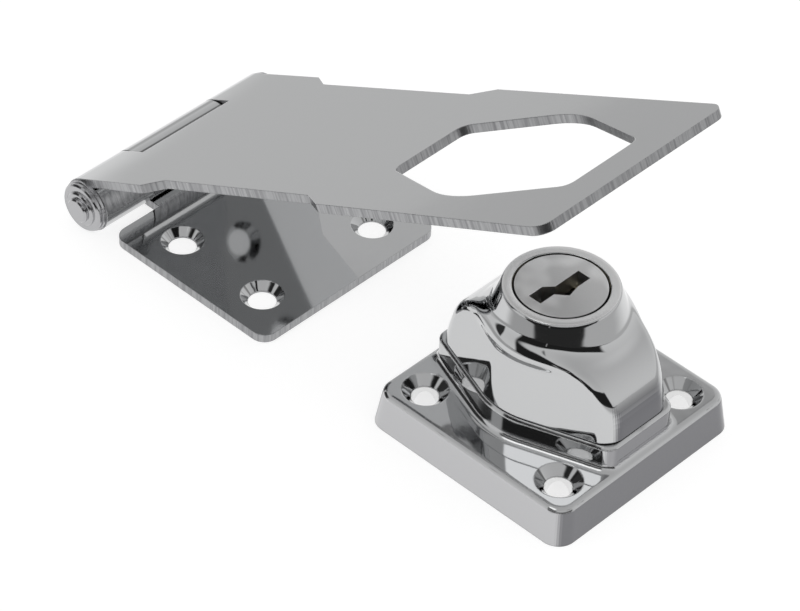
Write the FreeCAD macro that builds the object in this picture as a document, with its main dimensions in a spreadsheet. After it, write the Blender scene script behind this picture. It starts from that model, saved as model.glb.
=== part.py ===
import FreeCAD, Part
import math
import os
import Sketcher

# Keyed hasp lock: a hinged hasp strap with a hexagonal slot, and the lock that the slot drops over.
# Z = 0 is the surface that both halves are screwed to. X runs from the hinge to the lock, Y along the
# hinge pin. The origin lies on the lock's axis, in the middle of the base's four screw holes. Each half is
# drawn about its own axis, and the hinge half stands a set way off in -X.

doc = FreeCAD.newDocument("keyed_hasp_lock")

# Driving dimensions, in millimetres and degrees
SIZES = [
    ("sheet_thick", 1.5, "stamped sheet of the leaf and the strap"),
    ("barrel_radius", 4.7, "outside of the rolled knuckles"),
    ("barrel_length", 40.3, "all three knuckles"),
    ("middle_knuckle", 19.1, "length of the leaf's knuckle"),
    ("knuckle_gap", 0.25, "between neighbouring knuckles"),
    ("curl_gap", 0.4, "between the end of a curl and its own sheet"),
    ("pin_fit", 0.03, "radial play of the hinge pin"),
    ("washer_inset", 0.2, "washers under the pin's heads, inside the knuckles' outside"),
    ("washer_thick", 0.6, ""),
    ("head_inset", 0.4, "riveted head, inside the knuckles' outside"),
    ("head_thick", 0.9, ""),
    ("head_step_inset", 1.2, "riveted head, middle step inside the lowest"),
    ("head_step_thick", 0.5, ""),
    ("head_button_inset", 0.9, "riveted head, button inside the middle step"),
    ("head_button_thick", 0.6, ""),
    ("head_edge", 0.3, "chamfer of the head's steps"),
    ("leaf_near_gap", 0.9, "from the barrel to the leaf's edge beside it"),
    ("leaf_far", 40.8, "leaf edge away from the barrel"),
    ("leaf_side_inset", 0.25, "leaf inside the barrel's ends"),
    ("leaf_corner", 2.5, ""),
    ("leaf_hole_near", 14.4, "first row of screw holes"),
    ("leaf_hole_pitch_x", 18.5, ""),
    ("leaf_hole_pitch_y", 25.2, ""),
    ("leaf_hole_bore", 4.6, "for a 4 mm countersunk screw"),
    ("leaf_hole_rim", 7.1, ""),
    ("countersink_angle", 90.0, ""),
    ("strap_angle", 27.0, "how far the strap is raised"),
    ("strap_end_margin", 7.5, "end of the strap, beyond the step"),
    ("waist_inset", 2.3, "waist between the hinge and the slot, inside the barrel's ends"),
    ("waist_start", 16.5, "end of the wide part beside the hinge"),
    ("waist_slope", 3.8, "length of the shoulder beside the hinge"),
    ("waist_end", 55.9, "start of the shoulder before the slot"),
    ("waist_end_slope", 4.3, "length of the shoulder before the slot"),
    ("strap_notch_reach", 1.5, "strap edge over the middle knuckle, from the bore of the roll"),
    ("strap_corner", 2.6, ""),
    ("slot_end_play", 0.9, "slot to step, at the short sides"),
    ("slot_side_play", 0.75, "slot to step, at the long sides"),
    ("slot_corner", 2.2, ""),
    ("lock_place", 83.85, "axis of the lock, from the hinge pin"),
    ("base_margin", 2.025, "square base beyond the step's short ends, at the surface"),
    ("base_height", 6.6, ""),
    ("base_draft", 7.0, ""),
    ("base_corner", 3.2, ""),
    ("base_edge", 1.1, "rounding of the base's top edge"),
    ("base_wall", 2.2, ""),
    ("base_hole_inset", 6.3, "screw holes inside the base's sides"),
    ("base_hole_bore", 4.4, "for a 4 mm countersunk screw"),
    ("base_hole_rim", 7.5, ""),
    ("post_radius", 4.2, "round each screw hole, inside the base"),
    ("hexagon_angle", 20.0, "of the long sides to the X axis"),
    ("step_half_length", 18.15, "fixed hexagonal step on the base"),
    ("step_round", 13.0, "round apex, as far out as the long sides"),
    ("step_top", 11.0, ""),
    ("step_corner", 2.5, ""),
    ("step_foot", 1.3, "fillet into the base"),
    ("step_edge", 0.4, "chamfer of the step's top edge"),
    ("step_roof", 2.0, "wall under the step's top"),
    ("hub_bore", 11.5, "room in the step for the washers"),
    ("hub_radius", 13.7, "ring that the bolt locks into"),
    ("hub_foot", 0.4, "hub above the surface"),
    ("knob_gap", 0.2, "knob above the step"),
    ("knob_inset", 0.5, "knob inside the step's outline"),
    ("knob_draft", 7.0, "the knob's walls lean in"),
    ("roof_top", 22.3, ""),
    ("roof_radius", 42.0, ""),
    ("roof_edge", 1.4, "rounding between the roof and the walls"),
    ("roof_clearance", 3.0, "how far the tool that trims the roof reaches past the knob"),
    ("knob_wall", 2.2, ""),
    ("knob_room_top", 17.2, "roof of the hollows in the knob"),
    ("cone_top", 28.3, ""),
    ("cone_top_radius", 9.1, ""),
    ("cone_foot", 19.6, ""),
    ("cone_foot_radius", 11.3, ""),
    ("cone_edge", 0.25, ""),
    ("lip_thick", 1.0, "lip over the cylinder body"),
    ("lip_bore", 7.5, ""),
    ("knob_bore", 8.1, ""),
    ("shank_radius", 9.9, "turns in the step"),
    ("shank_fit", 0.06, "radial play of the shank"),
    ("shank_end", 0.8, ""),
    ("body_fit", 0.05, "radial play of the cylinder body"),
    ("body_foot", 10.5, ""),
    ("channel_width", 6.7, "channels that the wafers lock into"),
    ("channel_reach", 7.3, ""),
    ("channel_top", 26.3, ""),
    ("plug_radius", 6.2, ""),
    ("plug_fit", 0.05, "radial play of the plug"),
    ("plug_face_radius", 7.41, ""),
    ("plug_face_drop", 0.1, "plug face below the cone's top"),
    ("plug_foot", 9.2, ""),
    ("plug_edge", 0.3, ""),
    ("keyway_near", 5.3, "end of the keyway in -Y"),
    ("keyway_far", 4.4, "end of the keyway in +Y"),
    ("keyway_width", 2.4, ""),
    ("keyway_shift", 0.65, "each half of the keyway to its side"),
    ("keyway_step_low", -2.3, ""),
    ("keyway_step_high", -0.8, ""),
    ("keyway_bulge", 0.5, "beside the keyway's middle"),
    ("keyway_bulge_end", 1.6, ""),
    ("keyway_foot", 12.0, ""),
    ("tail_width", 4.6, "square tail of the plug"),
    ("wafer_count", 5, ""),
    ("wafer_top", 24.6, "middle of the first wafer"),
    ("wafer_spacing", 2.25, "from wafer to wafer"),
    ("wafer_thick", 1.0, ""),
    ("wafer_width", 6.4, ""),
    ("wafer_play", 0.08, ""),
    ("wafer_window_width", 4.6, ""),
    ("wafer_window_length", 7.6, ""),
    ("wafer_travel", 0.9, "out of the plug into a channel"),
    ("ear_reach", 5.0, "ear that the spring pushes"),
    ("ear_length", 1.2, ""),
    ("spring_place", 4.25, "from the lock's axis"),
    ("spring_radius", 0.5, ""),
    ("spring_wire", 0.12, "corner of the square wire, from its middle"),
    ("spring_length", 3.0, ""),
    ("spring_turns", 4, ""),
    ("spring_ease", 0.02, "between a spring and its wafer's ear"),
    ("clip_thick", 0.6, ""),
    ("clip_radius", 7.2, ""),
    ("clip_neck", 5.2, "bottom of the plug's groove"),
    ("clip_play", 0.05, ""),
    ("clip_mouth", 7.0, ""),
    ("cam_radius", 6.4, ""),
    ("cam_foot", 4.7, ""),
    ("cam_thick", 2.0, ""),
    ("crank_throw", 2.2, "crank pin, from the axis"),
    ("crank_radius", 1.2, ""),
    ("crank_play", 0.12, ""),
    ("bolt_foot", 2.0, ""),
    ("bolt_thick", 2.3, ""),
    ("bolt_width", 6.0, ""),
    ("bolt_tip", 9.6, "drawn in"),
    ("bolt_tail", 5.4, ""),
    ("bolt_head", 3.0, "end of the bolt's wide part"),
    ("bolt_head_width", 8.8, ""),
    ("bolt_play", 0.12, ""),
    ("notch_play", 0.25, ""),
    ("cap_thick", 1.1, ""),
    ("disc_spring_top", 8.95, ""),
    ("disc_spring_rise", 0.35, ""),
    ("disc_spring_thick", 0.45, ""),
    ("ring_radius", 11.1, "outside of the washers on the shank"),
    ("ring_play", 0.08, ""),
    ("flat_washer_thick", 0.8, ""),
    ("snap_ring_thick", 0.8, ""),
    ("snap_ring_neck", 9.2, "bottom of the shank's groove"),
    ("snap_ring_mouth", 4.0, ""),
    ("stop_place", 11.5, "stop pin, from the axis"),
    ("stop_radius", 0.8, ""),
    ("stop_play", 0.15, ""),
    ("stop_depth", 1.2, "groove for the stop pin"),
    ("stop_top", 15.0, ""),
    ("stop_lug", 1.9, "boss round the stop pin"),
    ("knob_turn", 90.0, ""),
    ("body_pin_height", 13.2, ""),
    ("body_pin_radius", 1.0, ""),
    ("body_pin_inner", 7.4, ""),
    ("body_pin_outer", 10.6, ""),
]

sheet = doc.addObject("Spreadsheet::Sheet", "Sizes")
for row, (alias, number, note) in enumerate(SIZES, start=1):
    sheet.set("A%d" % row, alias)
    sheet.set("B%d" % row, str(number))
    sheet.set("C%d" % row, note)
    sheet.setAlias("B%d" % row, alias)
doc.recompute()

# Sizes that follow from the driving ones
ROLL_BORE = "(Sizes.barrel_radius - Sizes.sheet_thick)"
PIN_RADIUS = "(%s - Sizes.pin_fit)" % ROLL_BORE
OUTER_KNUCKLE_START = "(Sizes.middle_knuckle / 2 + Sizes.knuckle_gap)"
WASHER_RADIUS = "(Sizes.barrel_radius - Sizes.washer_inset)"
HEAD_RADIUS = "(Sizes.barrel_radius - Sizes.head_inset)"
HEAD_STEP_RADIUS = "(%s - Sizes.head_step_inset)" % HEAD_RADIUS
HEAD_BUTTON_RADIUS = "(%s - Sizes.head_button_inset)" % HEAD_STEP_RADIUS
LEAF_NEAR = "(Sizes.barrel_radius + Sizes.leaf_near_gap)"
LEAF_HALF_WIDTH = "(Sizes.barrel_length / 2 - Sizes.leaf_side_inset)"
WAIST_HALF_WIDTH = "(Sizes.barrel_length / 2 - Sizes.waist_inset)"
STRAP_FAR = "(Sizes.lock_place + Sizes.step_half_length + Sizes.strap_end_margin)"
SLOT_HALF_LENGTH = "(Sizes.step_half_length + Sizes.slot_end_play)"
SLOT_ROUND = "(Sizes.step_round + Sizes.slot_side_play)"
BASE_HALF_SIDE = "(Sizes.step_half_length + Sizes.base_margin)"
BASE_HOLE_PLACE = "(%s - Sizes.base_hole_inset)" % BASE_HALF_SIDE
KNOB_FOOT = "(Sizes.step_top + Sizes.knob_gap)"
KNOB_HALF_LENGTH = "(Sizes.step_half_length - Sizes.knob_inset)"
KNOB_ROUND = "(Sizes.step_round - Sizes.knob_inset)"
BODY_RADIUS = "(Sizes.knob_bore - Sizes.body_fit)"
BODY_TOP = "(Sizes.cone_top - Sizes.lip_thick - Sizes.body_fit)"
PLUG_FACE_FOOT = "(Sizes.cone_top - Sizes.lip_thick)"
PLUG_FACE_TOP = "(Sizes.cone_top - Sizes.plug_face_drop)"
CLIP_FOOT = "(Sizes.body_foot - Sizes.clip_play - Sizes.clip_thick)"
FLAT_WASHER_TOP = "(Sizes.disc_spring_top - Sizes.disc_spring_rise - Sizes.disc_spring_thick)"
FLAT_WASHER_FOOT = "(%s - Sizes.flat_washer_thick)" % FLAT_WASHER_TOP
SNAP_RING_TOP = "(%s - Sizes.ring_play)" % FLAT_WASHER_FOOT
SNAP_RING_FOOT = "(%s - Sizes.snap_ring_thick)" % SNAP_RING_TOP
RING_BORE = "(Sizes.shank_radius + Sizes.ring_play)"
CRANK_REST = "(Sizes.crank_throw * sin(45 deg))"
STOP_REST = "(Sizes.stop_place * sin(Sizes.knob_turn / 2 * 1 deg))"

TOP = FreeCAD.Vector(0, 0, 1)
pieces = []


def size(alias):
    return float(sheet.get(alias))


# Drawing helpers: every place and radius is an expression on the sheet

def new_body(name):
    body = doc.addObject("PartDesign::Body", name)
    body.Label = name
    pieces.append(body)
    return body


def move_to_hinge(body, height="0", tilt=0):
    """Puts a piece that is drawn about the hinge into its place beside the lock."""
    raised = FreeCAD.Rotation(FreeCAD.Vector(0, -1, 0), tilt)
    body.Placement = FreeCAD.Placement(FreeCAD.Vector(0, 0, 0), raised)
    body.setExpression("Placement.Base.x", "-Sizes.lock_place")
    body.setExpression("Placement.Base.z", height)


def new_sketch(body, name, plane="XY_Plane", offset=None):
    """A sketch on one of the body's own planes, moved along the plane's normal by an expression."""
    sketch = body.newObject("Sketcher::SketchObject", name)
    support = [feature for feature in body.Origin.OriginFeatures if feature.Role == plane][0]
    sketch.AttachmentSupport = [(support, "")]
    sketch.MapMode = "FlatFace"
    if offset:
        sketch.setExpression("AttachmentOffset.Base.z", offset)
    return sketch


def bind(sketch, constraint, expression):
    index = sketch.addConstraint(constraint)
    sketch.setExpression("Constraints[%d]" % index, expression)


def place_point(sketch, geometry, point, across, up):
    """Fixes one point of the sketch; a coordinate of None lies on the axis."""
    bind(sketch, Sketcher.Constraint("DistanceX", geometry, point, 1.0), across or "0")
    bind(sketch, Sketcher.Constraint("DistanceY", geometry, point, 1.0), up or "0")


def add_circle(sketch, radius, across=None, up=None):
    circle = sketch.addGeometry(Part.Circle(FreeCAD.Vector(0, 0, 0), TOP, 1.0))
    bind(sketch, Sketcher.Constraint("Radius", circle, 1.0), radius)
    place_point(sketch, circle, 3, across, up)


def add_outline(sketch, corners):
    """A closed outline of straight lines; each corner is a pair of expressions."""
    count = len(corners)
    ring = []
    for index in range(count):
        angle = 2 * math.pi * index / count
        ring.append(FreeCAD.Vector(9 * math.cos(angle), 9 * math.sin(angle), 0))
    first = sketch.GeometryCount
    for index in range(count):
        sketch.addGeometry(Part.LineSegment(ring[index], ring[(index + 1) % count]))
    for index, (across, up) in enumerate(corners):
        following = first + (index + 1) % count
        sketch.addConstraint(Sketcher.Constraint("Coincident", first + index, 2, following, 1))
        place_point(sketch, first + index, 1, across, up)


def add_rectangle(sketch, left, right, bottom, top):
    add_outline(sketch, [(left, bottom), (right, bottom), (right, top), (left, top)])


def add_hexagon(sketch, half_length, round_radius, centre="0"):
    """The hexagon of the step, the knob and the slot: two short ends and four long sloping sides."""
    apex = "(%s / cos(Sizes.hexagon_angle * 1 deg))" % round_radius
    end = "(%s - %s * tan(Sizes.hexagon_angle * 1 deg))" % (apex, half_length)
    right = "%s + %s" % (centre, half_length)
    left = "%s - %s" % (centre, half_length)
    add_outline(sketch, [
        (right, "-" + end), (right, end), (centre, apex),
        (left, end), (left, "-" + end), (centre, "-" + apex)])


def pad(body, sketch, length, symmetric=False, reverse=False):
    feature = body.newObject("PartDesign::Pad", sketch.Name + "_pad")
    feature.Profile = sketch
    feature.setExpression("Length", length)
    feature.Midplane = symmetric
    feature.Reversed = reverse
    sketch.Visibility = False
    doc.recompute()
    return feature


def pocket(body, sketch, length=None, symmetric=False, reverse=False):
    """Cuts the sketch out of the body, all the way through where no length is given."""
    feature = body.newObject("PartDesign::Pocket", sketch.Name + "_pocket")
    feature.Profile = sketch
    if length:
        feature.setExpression("Length", length)
    else:
        feature.Type = "ThroughAll"
    feature.Midplane = symmetric
    feature.Reversed = reverse
    before = feature.BaseFeature.Shape.Volume
    doc.recompute()
    if not feature.Shape.Volume < before:
        raise RuntimeError("%s cuts nothing" % feature.Name)
    return feature


def turn(body, sketch, kind="PartDesign::Revolution", axis="V_Axis", angle=None):
    """Turns the sketch about one of its own axes, as a solid or as a groove."""
    feature = body.newObject(kind, sketch.Name + "_turned")
    feature.Profile = sketch
    feature.ReferenceAxis = (sketch, [axis])
    if angle:
        feature.setExpression("Angle", angle)
        feature.Midplane = True
    else:
        feature.Angle = 360
    doc.recompute()
    return feature


def countersunk_holes(body, sketch, bore, rim):
    hole = body.newObject("PartDesign::Hole", sketch.Name + "_holes")
    hole.Profile = sketch
    doc.recompute()
    hole.ThreadType = "None"
    hole.DepthType = "ThroughAll"
    hole.setExpression("Diameter", bore)
    hole.HoleCutType = "Countersink"
    hole.HoleCutCustomValues = True
    hole.setExpression("HoleCutDiameter", rim)
    hole.setExpression("HoleCutCountersinkAngle", "Sizes.countersink_angle * 1 deg")
    doc.recompute()
    return hole


def round_edges(body, name, radius, wanted, kind="PartDesign::Fillet"):
    """Rounds or chamfers those edges of the body's tip that the test picks."""
    base = body.Tip
    names = ["Edge%d" % number for number, edge in enumerate(base.Shape.Edges, start=1) if wanted(edge)]
    if not names:
        raise RuntimeError("%s finds no edge" % name)
    feature = body.newObject(kind, name)
    feature.Base = (base, names)
    feature.setExpression("Radius" if kind.endswith("Fillet") else "Size", radius)
    doc.recompute()
    return feature


def lean_walls(body, name, block, angle):
    """Leans the upright faces of a block in, from its foot up."""
    slope = body.newObject("PartDesign::Draft", name)
    faces = block.Shape.Faces
    foot = min(range(len(faces)), key=lambda number: faces[number].CenterOfMass.z)
    slope.Base = (block, ["Face%d" % (number + 1) for number, face in enumerate(faces)
                          if abs(face.normalAt(0, 0).z) < 0.1])
    slope.NeutralPlane = (block, ["Face%d" % (foot + 1)])
    slope.setExpression("Angle", angle + " * 1 deg")
    doc.recompute()


def upright(edge):
    """A straight edge along Z, or leaning a little."""
    if len(edge.Vertexes) != 2 or edge.Curve.TypeId != "Part::GeomLine":
        return False
    return abs(edge.tangentAt(edge.FirstParameter).z) > 0.9


def middle(edge):
    return edge.valueAt((edge.FirstParameter + edge.LastParameter) / 2)


# Hinge

def make_leaf():
    body = new_body("hinge_leaf")
    plate = new_sketch(body, "leaf_plate")
    half_tab = "Sizes.middle_knuckle / 2"
    add_outline(plate, [
        ("Sizes.leaf_far", "-" + LEAF_HALF_WIDTH), ("Sizes.leaf_far", LEAF_HALF_WIDTH),
        (LEAF_NEAR, LEAF_HALF_WIDTH), (LEAF_NEAR, half_tab), (None, half_tab),
        (None, "-" + half_tab), (LEAF_NEAR, "-" + half_tab), (LEAF_NEAR, "-" + LEAF_HALF_WIDTH)])
    pad(body, plate, "Sizes.sheet_thick")
    corner_y = size("barrel_length") / 2 - size("leaf_side_inset")
    round_edges(body, "leaf_corners", "Sizes.leaf_corner",
                lambda edge: upright(edge) and abs(abs(middle(edge).y) - corner_y) < 0.01)
    knuckle = new_sketch(body, "leaf_knuckle", "XZ_Plane")
    add_circle(knuckle, "Sizes.barrel_radius", None, "Sizes.barrel_radius")
    add_circle(knuckle, ROLL_BORE, None, "Sizes.barrel_radius")
    pad(body, knuckle, "Sizes.middle_knuckle", symmetric=True)
    curl_end = new_sketch(body, "leaf_curl_end", "XZ_Plane")
    add_rectangle(curl_end, None, "Sizes.barrel_radius + 1",
                  "Sizes.sheet_thick", "Sizes.sheet_thick + Sizes.curl_gap")
    pocket(body, curl_end, symmetric=True)
    holes = new_sketch(body, "leaf_screws", offset="Sizes.sheet_thick")
    for across in ("Sizes.leaf_hole_near", "Sizes.leaf_hole_near + Sizes.leaf_hole_pitch_x"):
        for up in ("-Sizes.leaf_hole_pitch_y / 2", "Sizes.leaf_hole_pitch_y / 2"):
            add_circle(holes, "Sizes.leaf_hole_bore / 2", across, up)
    countersunk_holes(body, holes, "Sizes.leaf_hole_bore", "Sizes.leaf_hole_rim")
    move_to_hinge(body)


def make_strap():
    """Drawn lying shut about the pin's axis, then raised about it."""
    body = new_body("hasp_strap")
    plate = new_sketch(body, "strap_plate", offset=ROLL_BORE)
    wide_half = "Sizes.barrel_length / 2"
    side = [
        (None, wide_half), ("Sizes.waist_start", wide_half),
        ("Sizes.waist_start + Sizes.waist_slope", WAIST_HALF_WIDTH), ("Sizes.waist_end", WAIST_HALF_WIDTH),
        ("Sizes.waist_end + Sizes.waist_end_slope", wide_half), (STRAP_FAR, wide_half)]
    other_side = [(across, "-" + up) for across, up in reversed(side)]
    add_outline(plate, side + other_side)
    pad(body, plate, "Sizes.sheet_thick")
    far = size("lock_place") + size("step_half_length") + size("strap_end_margin")
    round_edges(body, "strap_corners", "Sizes.strap_corner",
                lambda edge: upright(edge) and abs(middle(edge).x - far) < 0.01)
    knuckles = new_sketch(body, "strap_knuckles", "XZ_Plane")
    add_circle(knuckles, "Sizes.barrel_radius")
    add_circle(knuckles, ROLL_BORE)
    pad(body, knuckles, "Sizes.barrel_length", symmetric=True)
    curl_end = new_sketch(body, "strap_curl_end", "XZ_Plane")
    add_rectangle(curl_end, None, "Sizes.barrel_radius + 1", ROLL_BORE + " - Sizes.curl_gap", ROLL_BORE)
    pocket(body, curl_end, symmetric=True)
    notch = new_sketch(body, "strap_notch_cut")
    add_rectangle(notch, "-Sizes.barrel_radius - 1", ROLL_BORE + " + Sizes.strap_notch_reach",
                  "-" + OUTER_KNUCKLE_START, OUTER_KNUCKLE_START)
    pocket(body, notch, symmetric=True)
    slot = new_sketch(body, "strap_slot", offset=ROLL_BORE)
    add_hexagon(slot, SLOT_HALF_LENGTH, SLOT_ROUND, "Sizes.lock_place")
    pocket(body, slot, "Sizes.sheet_thick", reverse=True)
    centre = size("lock_place")
    half_slot = size("step_half_length") + size("slot_end_play")
    inside = size("barrel_length") / 2 - 1
    slot_edges = [edge for edge in body.Tip.Shape.Edges if upright(edge)
                  and abs(middle(edge).x - centre) < half_slot + 0.01 and abs(middle(edge).y) < inside]
    apexes = [middle(edge) for edge in slot_edges if abs(middle(edge).x - centre) < 0.01]
    corners = [middle(edge) for edge in slot_edges if abs(abs(middle(edge).x - centre) - half_slot) < 0.01]
    round_edges(body, "slot_apexes", SLOT_ROUND, near_any(apexes))
    round_edges(body, "slot_corners", "Sizes.slot_corner", near_any(corners))
    move_to_hinge(body, "Sizes.barrel_radius", size("strap_angle"))


def near_any(points):
    """A test that picks upright edges whose middle is one of the points."""
    def wanted(edge):
        return upright(edge) and any((middle(edge) - point).Length < 0.05 for point in points)
    return wanted


def make_pin():
    """A turned pin with stepped heads, riveted over the washers at both ends."""
    body = new_body("hinge_pin")
    profile = new_sketch(body, "pin_profile", "YZ_Plane")
    shoulder = "(Sizes.barrel_length / 2 + Sizes.washer_thick)"
    first = "(%s + Sizes.head_thick)" % shoulder
    second = "(%s + Sizes.head_step_thick)" % first
    third = "(%s + Sizes.head_button_thick)" % second
    half = [
        (shoulder, PIN_RADIUS), (shoulder, HEAD_RADIUS), (first, HEAD_RADIUS),
        (first, HEAD_STEP_RADIUS), (second, HEAD_STEP_RADIUS),
        (second, HEAD_BUTTON_RADIUS), (third, HEAD_BUTTON_RADIUS), (third, None)]
    other = [("-" + across, up) for across, up in reversed(half)]
    add_outline(profile, half + other)
    turn(body, profile, axis="H_Axis")
    round_edges(body, "pin_head_edges", "Sizes.head_edge", is_outer_rim, "PartDesign::Chamfer")
    move_to_hinge(body, "Sizes.barrel_radius")


def is_outer_rim(edge):
    """The raised rims of the riveted head, not the inner corners between its steps."""
    if edge.Curve.TypeId != "Part::GeomCircle":
        return False
    start = size("barrel_length") / 2 + size("washer_thick")
    first = start + size("head_thick")
    second = first + size("head_step_thick")
    third = second + size("head_button_thick")
    head = size("barrel_radius") - size("head_inset")
    head_step = head - size("head_step_inset")
    rims = {head: first, head_step: second, head_step - size("head_button_inset"): third}
    radius = edge.Curve.Radius
    return any(abs(radius - rim) < 0.01 and abs(abs(edge.Curve.Center.y) - place) < 0.01
               for rim, place in rims.items())


def make_pin_washer(name, side):
    body = new_body(name)
    ring = new_sketch(body, name + "_ring", "XZ_Plane", "%s * Sizes.barrel_length / 2" % (-side))
    add_circle(ring, WASHER_RADIUS)
    add_circle(ring, PIN_RADIUS + " + Sizes.pin_fit")
    pad(body, ring, "Sizes.washer_thick", reverse=side > 0)
    move_to_hinge(body, "Sizes.barrel_radius")


# Lock base

def make_base():
    """Die-cast base, open underneath, with the fixed hexagonal step that the strap's slot drops over."""
    body = new_body("lock_base")
    foot = new_sketch(body, "base_foot")
    add_rectangle(foot, "-" + BASE_HALF_SIDE, BASE_HALF_SIDE, "-" + BASE_HALF_SIDE, BASE_HALF_SIDE)
    block = pad(body, foot, "Sizes.base_height")
    lean_walls(body, "base_slope", block, "Sizes.base_draft")
    round_edges(body, "base_corners", "Sizes.base_corner",
                lambda edge: abs(edge.Vertexes[0].Z - edge.Vertexes[-1].Z) > 1)
    top = size("base_height")
    round_edges(body, "base_top_edge", "Sizes.base_edge",
                lambda edge: abs(middle(edge).z - top) < 0.01)
    step = new_sketch(body, "step_outline", offset="Sizes.base_height")
    add_hexagon(step, "Sizes.step_half_length", "Sizes.step_round")
    pad(body, step, "Sizes.step_top - Sizes.base_height")
    round_hexagon(body, "step", size("step_half_length"), "Sizes.step_round", "Sizes.step_corner")
    step_top = size("step_top")
    round_edges(body, "step_top_edge", "Sizes.step_edge",
                lambda edge: abs(middle(edge).z - step_top) < 0.01, "PartDesign::Chamfer")
    reach = size("step_half_length") + 0.1
    round_edges(body, "step_foot_fillet", "Sizes.step_foot",
                lambda edge: abs(middle(edge).z - top) < 0.01 and in_box(edge, reach))
    room = new_sketch(body, "base_room")
    inner = "(%s - Sizes.base_wall)" % BASE_HALF_SIDE
    add_rectangle(room, "-" + inner, inner, "-" + inner, inner)
    pocket(body, room, "Sizes.base_height - Sizes.base_wall", reverse=True)
    hub = new_sketch(body, "base_hub", offset="Sizes.hub_foot")
    add_circle(hub, "Sizes.hub_radius")
    pad(body, hub, "Sizes.base_height - Sizes.base_wall - Sizes.hub_foot")
    posts = new_sketch(body, "base_posts")
    add_screw_pattern(posts, "Sizes.post_radius")
    pad(body, posts, "Sizes.base_height - Sizes.base_wall")
    hub_room = new_sketch(body, "base_hub_room")
    add_circle(hub_room, "Sizes.hub_bore")
    pocket(body, hub_room, "Sizes.step_top - Sizes.step_roof", reverse=True)
    bearing = new_sketch(body, "base_bearing")
    add_circle(bearing, "Sizes.shank_radius + Sizes.shank_fit")
    pocket(body, bearing, reverse=True)
    cut_bolt_notches(body)
    stop_groove = new_sketch(body, "stop_groove", "XZ_Plane")
    groove_half = "(Sizes.stop_radius + Sizes.stop_play)"
    add_rectangle(stop_groove, "-Sizes.stop_place - " + groove_half, "-Sizes.stop_place + " + groove_half,
                  "Sizes.step_top - Sizes.stop_depth", "Sizes.step_top + 1")
    swing = "Sizes.knob_turn * 1 deg + 2 * asin(%s / Sizes.stop_place)" % groove_half
    turn(body, stop_groove, "PartDesign::Groove", angle=swing)
    screws = new_sketch(body, "base_screws", offset="Sizes.base_height")
    add_screw_pattern(screws, "Sizes.base_hole_bore / 2")
    countersunk_holes(body, screws, "Sizes.base_hole_bore", "Sizes.base_hole_rim")


def add_screw_pattern(sketch, radius):
    for across in ("-" + BASE_HOLE_PLACE, BASE_HOLE_PLACE):
        for up in ("-" + BASE_HOLE_PLACE, BASE_HOLE_PLACE):
            add_circle(sketch, radius, across, up)


def in_box(edge, reach):
    point = middle(edge)
    return abs(point.x) < reach and abs(point.y) < reach


def round_hexagon(body, name, half_length, round_radius, corner_radius):
    """Rounds the two apexes to a circle about the lock's axis, and the four corners at the short ends."""
    round_edges(body, name + "_apexes", round_radius,
                lambda edge: upright(edge) and abs(middle(edge).x) < 0.01 and in_box(edge, half_length))
    round_edges(body, name + "_corners", corner_radius,
                lambda edge: upright(edge) and abs(middle(edge).x) > half_length * 0.8
                and abs(middle(edge).y) < half_length * 0.7)


def cut_bolt_notches(body):
    """The hub's notches for the bolt, one with the knob in line and one with it turned across."""
    half = "(Sizes.bolt_width / 2 + Sizes.notch_play)"
    start = "(Sizes.hub_bore - 1)"
    end = "(Sizes.hub_radius + 0.5)"
    depth = "Sizes.bolt_foot + Sizes.bolt_thick + Sizes.notch_play"
    for name, left, right, low, high in (
            ("notch_in_line", start, end, "-" + half, half),
            ("notch_across", "-" + half, half, start, end)):
        notch = new_sketch(body, name)
        add_rectangle(notch, left, right, low, high)
        pocket(body, notch, depth, reverse=True)


# Knob and what turns with it

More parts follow.
